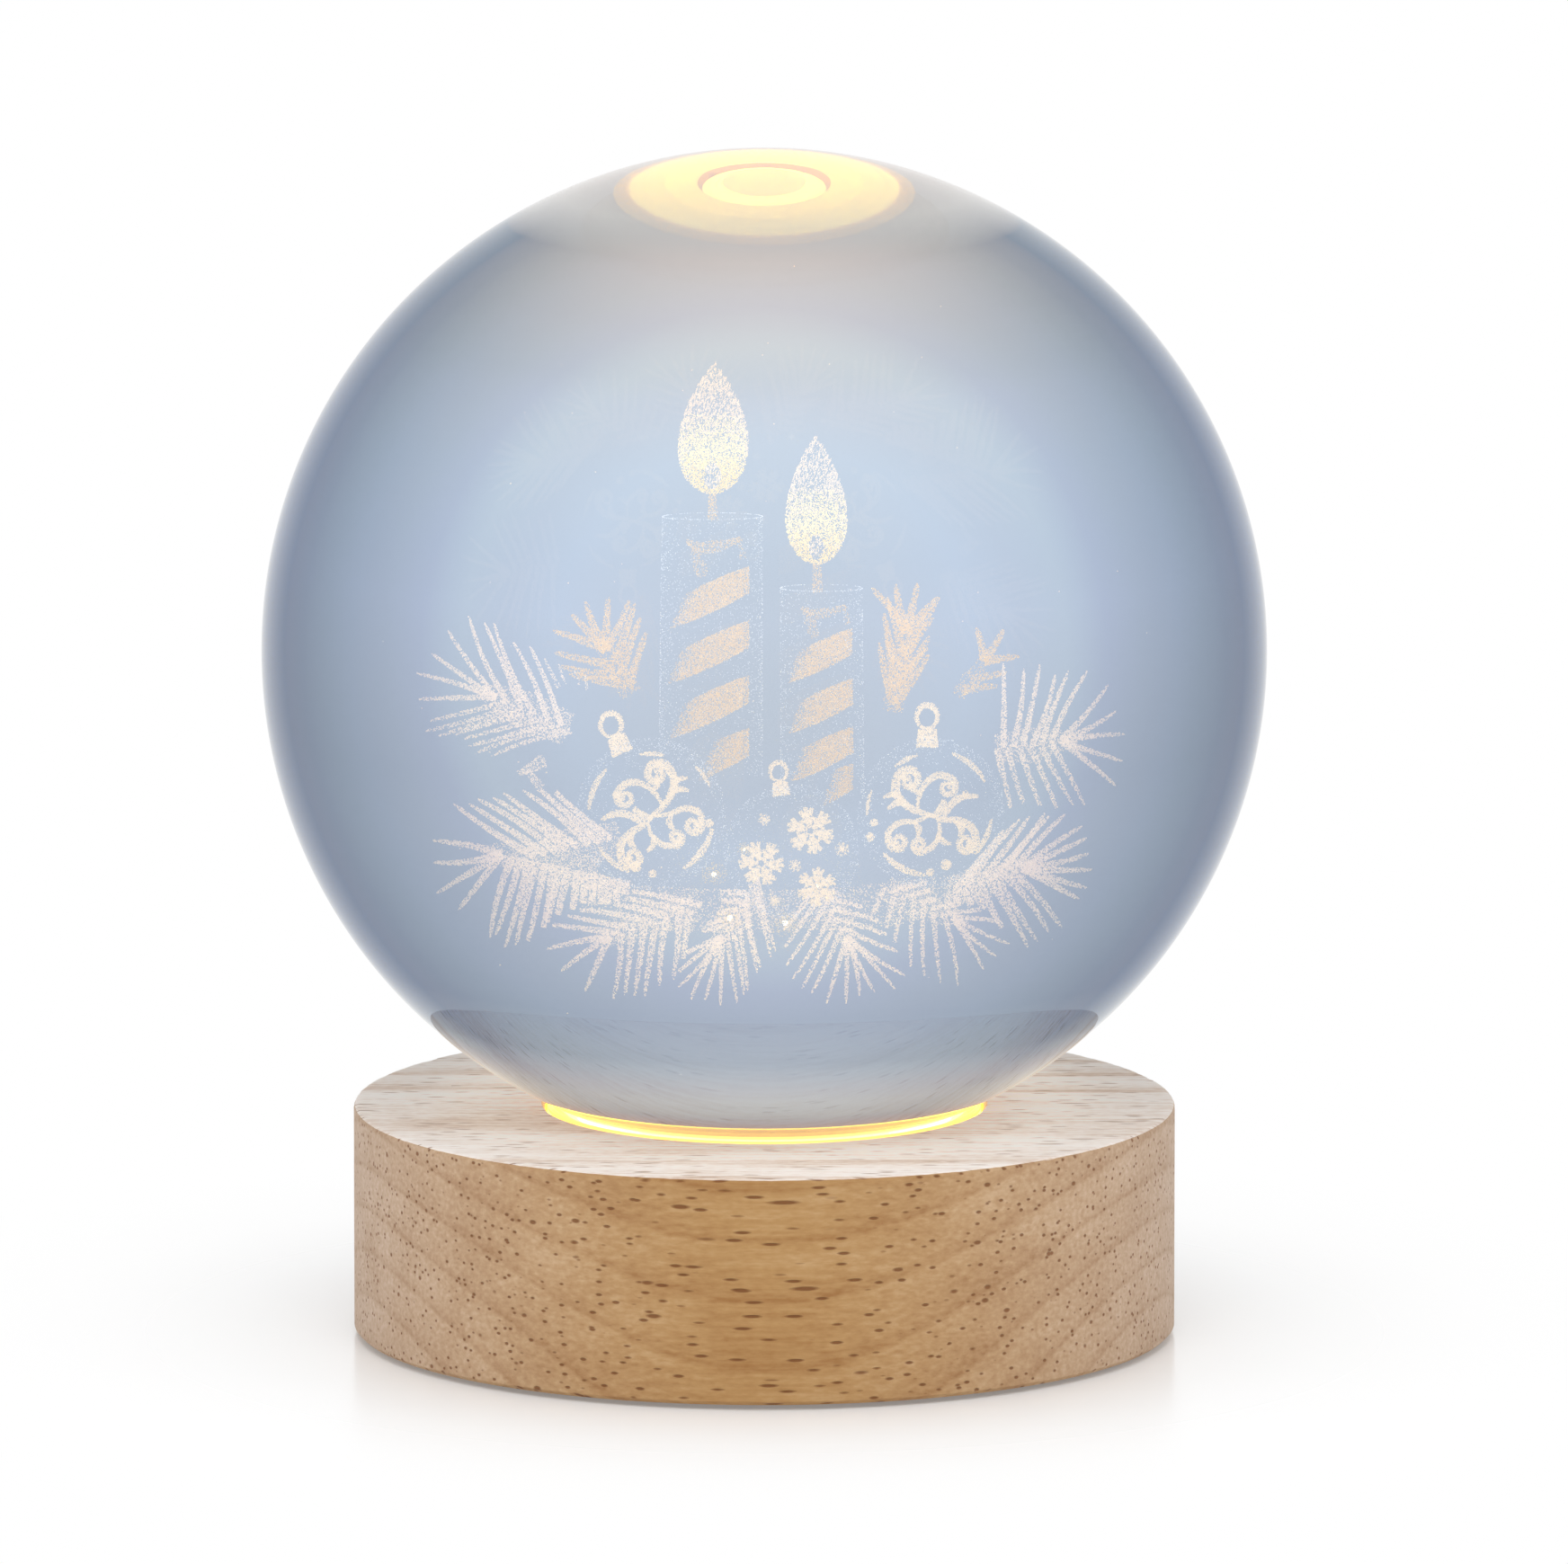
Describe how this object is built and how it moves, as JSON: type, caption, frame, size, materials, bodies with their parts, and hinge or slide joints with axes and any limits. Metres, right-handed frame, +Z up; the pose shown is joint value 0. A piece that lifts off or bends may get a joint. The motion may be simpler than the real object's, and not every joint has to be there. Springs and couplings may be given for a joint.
{
  "type": "crystal ball lamp",
  "caption": "Solid glass ball with an engraved picture inside, seated on a round wooden base that holds a warm LED light.",
  "frame": {"origin": "on the table, under the middle of the ball", "axes": "+Z up through the ball, +Y to the back, where the socket and the button are, +X to the right of a viewer in front"},
  "size_m": [0.08, 0.08, 0.0951],
  "materials": {
    "rubberwood": "turned and sanded, bare",
    "crystal_glass": "polished",
    "engraved_glass": "laser engraved, white cracks",
    "clear_silicone": "moulded, clear",
    "clear_acrylic": "moulded, clear",
    "white_board": "white solder mask",
    "green_board": "green solder mask",
    "warm_led": "warm white phosphor",
    "black_plastic": "moulded, fine texture",
    "white_plastic": "moulded, satin",
    "plated_steel": "nickel plated",
    "brown_ceramic": "fired ceramic",
    "foam_rubber": "die cut foam",
    "red_lead": "wire insulation",
    "black_lead": "wire insulation"
  },
  "bodies": {
    "base": {"wooden_base": "rubberwood", "led_lens": "clear_acrylic", "led_board": "white_board", "led_chip_1": "warm_led", "led_chip_2": "warm_led", "led_chip_3": "warm_led", "led_board_screw_1": "plated_steel", "led_board_screw_2": "plated_steel", "control_board": "green_board", "driver_chip": "black_plastic", "resistor_1": "black_plastic", "resistor_2": "black_plastic", "resistor_3": "black_plastic", "capacitor": "brown_ceramic", "board_spacer_1": "white_plastic", "board_spacer_2": "white_plastic", "board_screw_1": "plated_steel", "board_screw_2": "plated_steel", "usb_shell": "plated_steel", "usb_tongue": "black_plastic", "switch_body": "black_plastic", "switch_spring": "plated_steel", "lead_red": "red_lead", "lead_black": "black_lead", "bottom_cover": "black_plastic", "cover_screw_1": "plated_steel", "cover_screw_2": "plated_steel", "cover_screw_3": "plated_steel", "foot_1": "foam_rubber", "foot_2": "foam_rubber", "foot_3": "foam_rubber", "foot_4": "foam_rubber"},
    "ring": {"seat_ring": "clear_silicone"},
    "ball": {"crystal_ball": "crystal_glass", "engraved_candle_1": "engraved_glass", "engraved_candle_2": "engraved_glass", "engraved_bauble_1": "engraved_glass", "engraved_bauble_2": "engraved_glass", "engraved_bauble_3": "engraved_glass", "engraved_fir": "engraved_glass"},
    "button": {"button_cap": "white_plastic", "switch_plunger": "black_plastic"}
  },
  "joints": [
    {"name": "ball_turn", "type": "hinge", "parent": "base", "child": "ring", "pos_m": [0, 0, 0.01811], "axis": [0, 0, 1], "continuous": true},
    {"name": "ball_lift", "type": "slide", "parent": "ring", "child": "ball", "axis": [0, 0, 1], "range_m": [0, 0.03]},
    {"name": "button_press", "type": "slide", "parent": "base", "child": "button", "axis": [0, -1, 0], "range_m": [0, 0.001], "stiffness_N_per_m": 300, "springref_m": -0.0015, "deforming": ["switch_spring"]}
  ]
}
